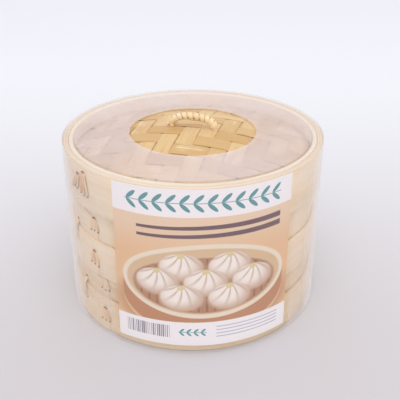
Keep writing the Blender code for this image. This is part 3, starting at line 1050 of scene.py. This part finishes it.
def film_side():
    """Thin clear shrink film: glossy, milky where it creases and where it is seen edge on, and
    clear where it clings to the label."""
    g = Graph("film_side")
    folds = creases(g)
    edge_on = g.node("ShaderNodeLayerWeight", {"Blend": 0.5}).outputs["Facing"]
    x, y, z = g.place()
    along = g.math("ARCTAN2", x, g.math("MULTIPLY", y, -1))
    loose = g.math("ADD", g.ramp(along, -0.66, -0.58, 1.3, 0.2), g.ramp(along, 0.76, 0.84, 0.0, 1.1))
    milk = g.math("MULTIPLY", g.ramp(folds, 0.3, 0.7, 0.14, 0.26), loose)
    alpha = g.math("MAXIMUM", milk, g.ramp(edge_on, 0.5, 0.95, 0.02, 0.9))
    g.set(Base_Color=srgb(244, 240, 238), Roughness=0.25, Alpha=alpha, IOR=1.45)
    g.set(Normal=g.bump(folds, 0.4 * MM, 0.5))
    return g.material


def film_cover():
    """The film over the lid: milky over the weave, clearer where it lies on the rim."""
    g = Graph("film_cover")
    folds = creases(g)
    x, y, z = g.place()
    distance = g.math("SQRT", g.math("ADD", g.math("MULTIPLY", x, x), g.math("MULTIPLY", y, y)))
    milk = g.ramp(folds, 0.3, 0.75, 0.38, 0.52)
    on_rim = g.ramp(distance, WEAVE_RADIUS - 2 * MM, WEAVE_RADIUS + 1 * MM)
    alpha = g.math("MULTIPLY_ADD", on_rim, g.math("SUBTRACT", 0.34, milk), milk)
    tint = g.mix(on_rim, srgb(234, 228, 238), srgb(214, 208, 206))
    g.set(Base_Color=tint, Roughness=0.25, Alpha=alpha, IOR=1.45)
    g.set(Normal=g.bump(folds, 0.4 * MM, 0.5))
    return g.material


def add_film():
    wall = film_side()
    top = film_cover()
    radius = FILM_RADIUS - 0.15 * MM
    columns = 180
    pick = random.Random(3)
    phases = [pick.uniform(0, math.tau) for i in range(6)]

    def ripple(along, height):
        total = 0.0
        for number, phase in enumerate(phases):
            total += math.sin(along * (5 + 4 * number) + phase + height * 30 * (number - 2)) / (number + 2)
        return total

    bm = bmesh.new()
    rings = []
    levels = [FILM_BOTTOM + (RIM_TOP - 1 * MM - FILM_BOTTOM) * i / 16 for i in range(17)]
    for z in levels:
        ring = []
        for column in range(columns):
            along = math.tau * column / columns
            hollow = min(0, ripple(along, z) - 0.5) * 0.12 * MM
            ring.append(bm.verts.new(on_cylinder(radius + hollow, along, z)))
        rings.append(ring)
    corner = ring_of(bm, columns, radius - 0.4 * MM, FILM_TOP - 0.2 * MM)
    rings.append(corner)
    join_rings(bm, rings)
    sleeve = add_piece("wrap_film_sleeve", bm, wall, "wrap", ["wrap_film_wall"])

    bm = bmesh.new()
    rings = [ring_of(bm, columns, radius - 0.4 * MM, FILM_TOP - 0.2 * MM)]
    for step in range(1, 13):
        share = step / 12
        distance = radius - 0.4 * MM + (FILM_HOLE - radius + 0.4 * MM) * share
        ring = []
        for column in range(columns):
            along = math.tau * column / columns
            sag = 0.10 * MM * (ripple(along, distance) - 0.5) * math.sin(math.pi * share)
            height = FILM_TOP - 0.2 * MM + min(0.15 * MM, sag)
            ring.append(bm.verts.new(on_cylinder(distance, along, height)))
        rings.append(ring)
    join_rings(bm, rings)
    cover = add_piece("wrap_film_cover", bm, top, "wrap", ["wrap_film_top"])
    sleeve.visible_shadow = False
    cover.visible_shadow = False


def ring_of(bm, columns, radius, z):
    return [bm.verts.new(on_cylinder(radius, math.tau * column / columns, z)) for column in range(columns)]


def join_rings(bm, rings):
    for a, b in zip(rings, rings[1:]):
        for i in range(len(a)):
            bm.faces.new((a[i - 1], a[i], b[i], b[i - 1]))


# ---------------------------------------------------------------- the stage


def add_stage():
    bpy.ops.mesh.primitive_plane_add(size=30, location=(0, 0, -0.0002))
    floor = bpy.context.object
    floor.name = "floor"
    g = Graph("floor_painted_falloff")
    x, y, z = g.place()
    # The floor is painted darker towards the front and paler towards the back: painted shade and light in
    # place of the light's falloff.
    near, far = srgb(203, 199, 203), srgb(240, 243, 249)
    g.set(Base_Color=g.mix(g.ramp(y, -0.35, 0.65), near, far), Roughness=0.95)
    floor.data.materials.append(g.material)

    world = bpy.data.worlds.new("studio")
    bpy.context.scene.world = world
    world.use_nodes = True
    world.node_tree.nodes["Background"].inputs["Color"].default_value = srgb(250, 248, 249)
    world.node_tree.nodes["Background"].inputs["Strength"].default_value = 0.98
    add_light("key", (0.1, -0.9, 1.5), 1.6, 8)

    camera_data = bpy.data.cameras.new("camera")
    camera = bpy.data.objects.new("camera", camera_data)
    bpy.context.scene.collection.objects.link(camera)
    camera.location = CAMERA_PLACE
    camera.rotation_euler = (math.pi / 2 - CAMERA_PITCH, 0, CAMERA_YAW)
    camera_data.lens = CAMERA_LENS
    camera_data.clip_start = 0.01
    bpy.context.scene.camera = camera
    bpy.context.scene.view_settings.view_transform = "Standard"


def add_light(name, place, size, power):
    data = bpy.data.lights.new(name, "AREA")
    data.shape = "DISK"
    data.size = size
    data.energy = power
    light = bpy.data.objects.new(name, data)
    light.location = place
    light.rotation_euler = (-Vector(place)).to_track_quat("-Z", "Y").to_euler()
    bpy.context.scene.collection.objects.link(light)


def main():
    add_stage()
    hoop_materials = add_hoops()
    add_racks()
    add_weave()
    add_handle()
    add_lacings(hoop_materials)
    add_label()
    add_film()


main()
